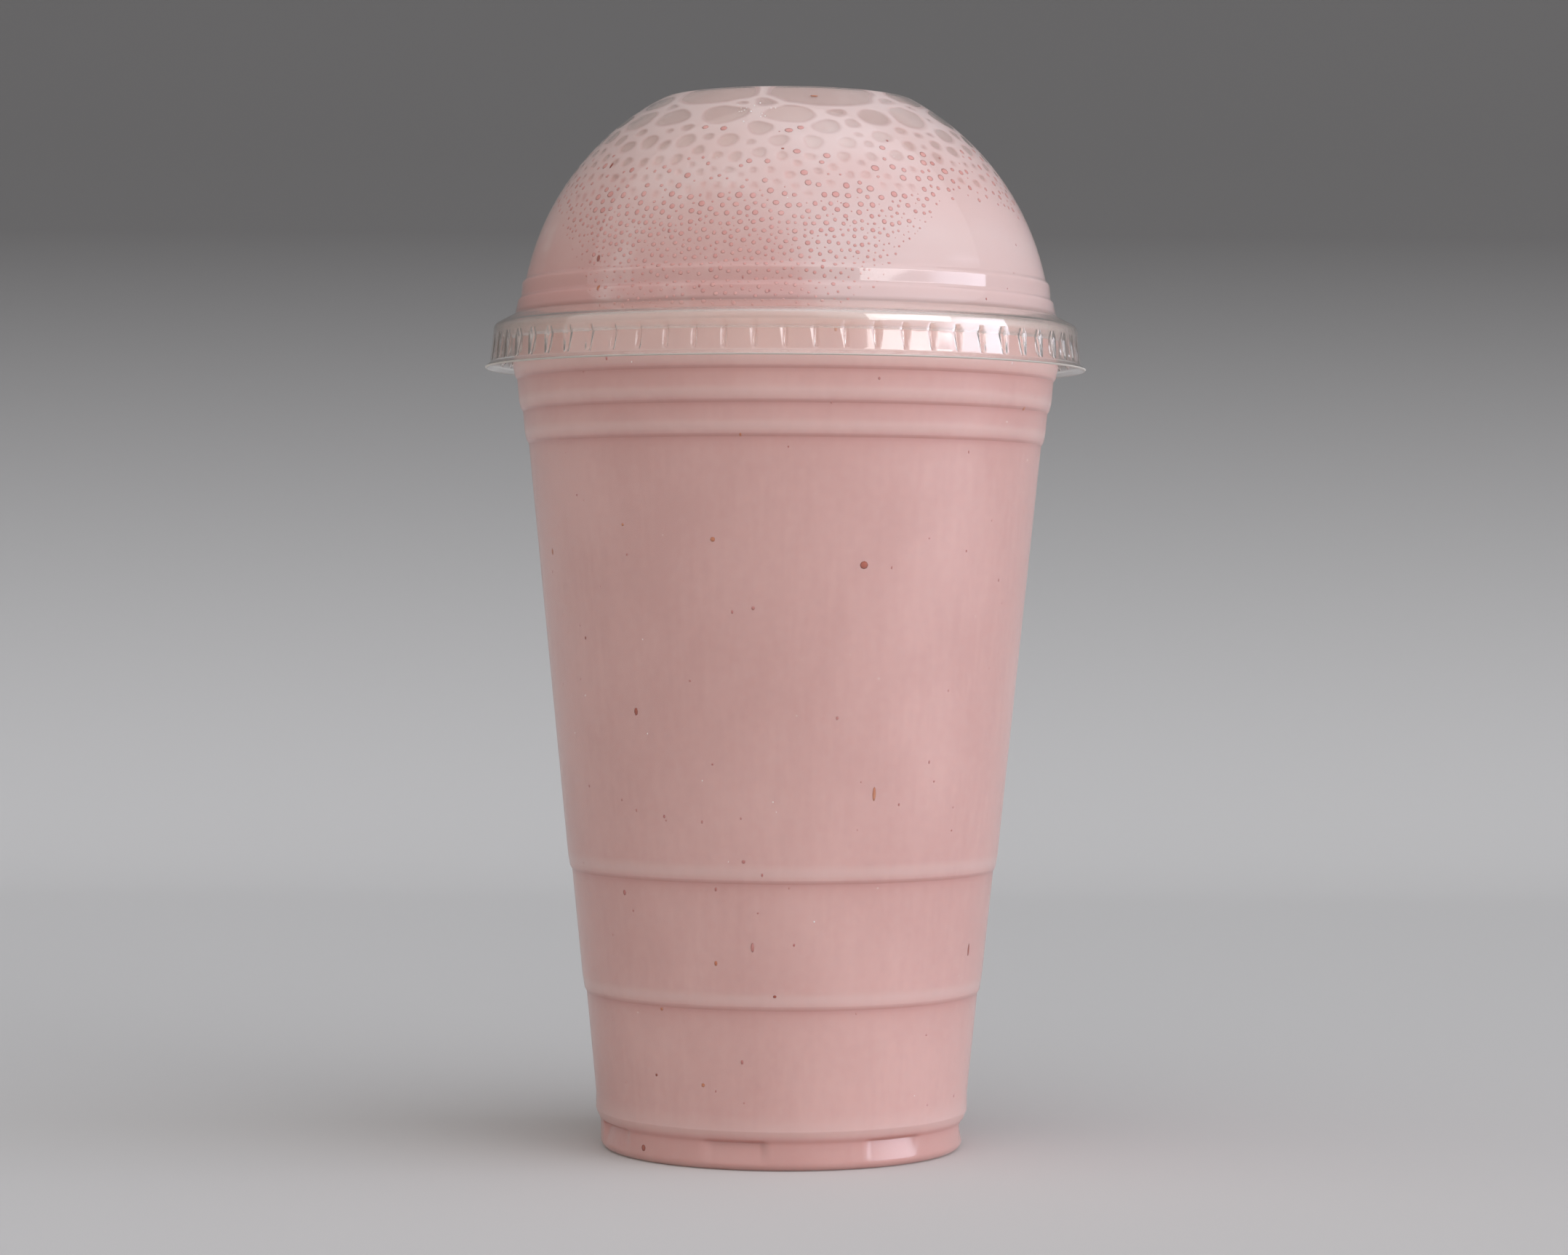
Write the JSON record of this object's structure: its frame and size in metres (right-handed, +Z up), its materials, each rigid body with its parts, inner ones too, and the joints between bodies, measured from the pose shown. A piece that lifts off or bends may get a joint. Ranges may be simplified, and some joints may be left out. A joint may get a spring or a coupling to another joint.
{
  "type": "milkshake in a dome-lidded cup",
  "caption": "Pink milkshake filling a clear ribbed plastic takeaway cup and the froth-filled dome lid that snaps over its rolled rim.",
  "frame": {"origin": "on the cup's axis, in the plane that its foot stands on", "axes": "+Z up along the axis of the cup and lid; -Y towards the side that the picture shows; +X to that view's right"},
  "size_m": [0.102, 0.102, 0.1779],
  "materials": {
    "clear_cup": "clear thermoformed PET sheet, smooth and glossy",
    "clear_lid": "clear thermoformed PET sheet, smooth and glossy",
    "milkshake": "opaque pink blended milkshake with small fruit flecks",
    "froth": "paler pink froth with bubbles that grow towards the top"
  },
  "bodies": {
    "root": {"cup": "clear_cup", "lid": "clear_lid", "milkshake": "milkshake", "froth": "froth"}
  },
  "joints": []
}
